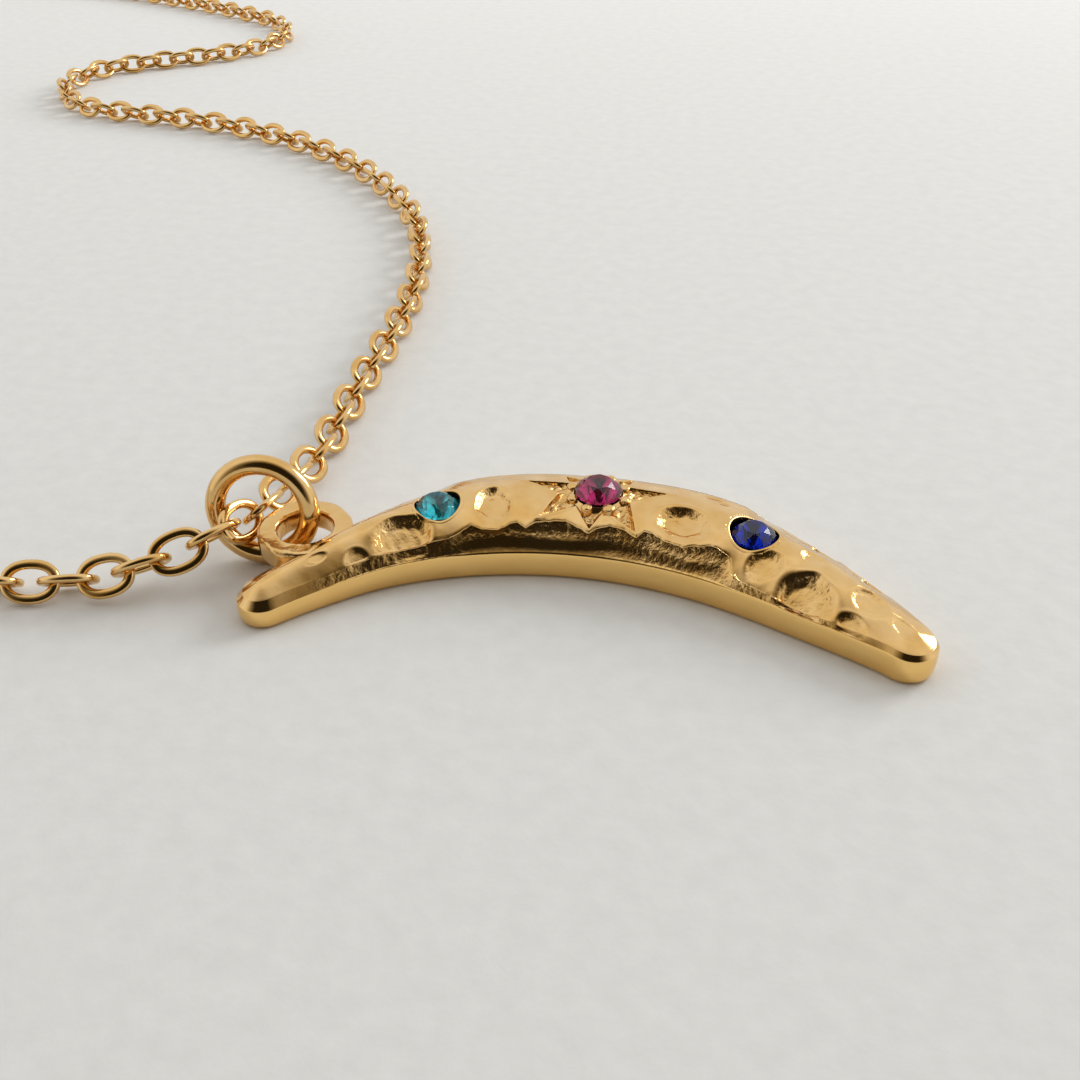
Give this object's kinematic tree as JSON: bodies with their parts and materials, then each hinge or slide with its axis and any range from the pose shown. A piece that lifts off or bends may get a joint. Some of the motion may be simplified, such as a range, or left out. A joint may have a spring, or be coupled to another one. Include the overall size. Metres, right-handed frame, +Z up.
{
  "type": "pendant necklace",
  "caption": "Hammered crescent moon pendant with three set stones and a star in relief, on a fine cable chain in a closed loop.",
  "frame": {"origin": "middle of the crescent's flat back, on the surface that the necklace lies on", "axes": "+Z up, out of the flat back; +X from the tip with the loop to the plain tip; +Y towards the crescent's convex edge"},
  "size_m": [0.1654, 0.1386, 0.0059],
  "materials": {
    "gold": "polished, gold-plated, hammered on top",
    "teal_glass": "faceted, foiled behind",
    "ruby_glass": "faceted, foiled behind",
    "sapphire_glass": "faceted, foiled behind"
  },
  "bodies": {
    "root": {"crescent_moon": "gold", "jump_ring": "gold", "chain_left": "gold", "chain_right": "gold", "clasp": "gold", "teal_stone": "teal_glass", "ruby_stone": "ruby_glass", "sapphire_stone": "sapphire_glass"}
  },
  "joints": []
}
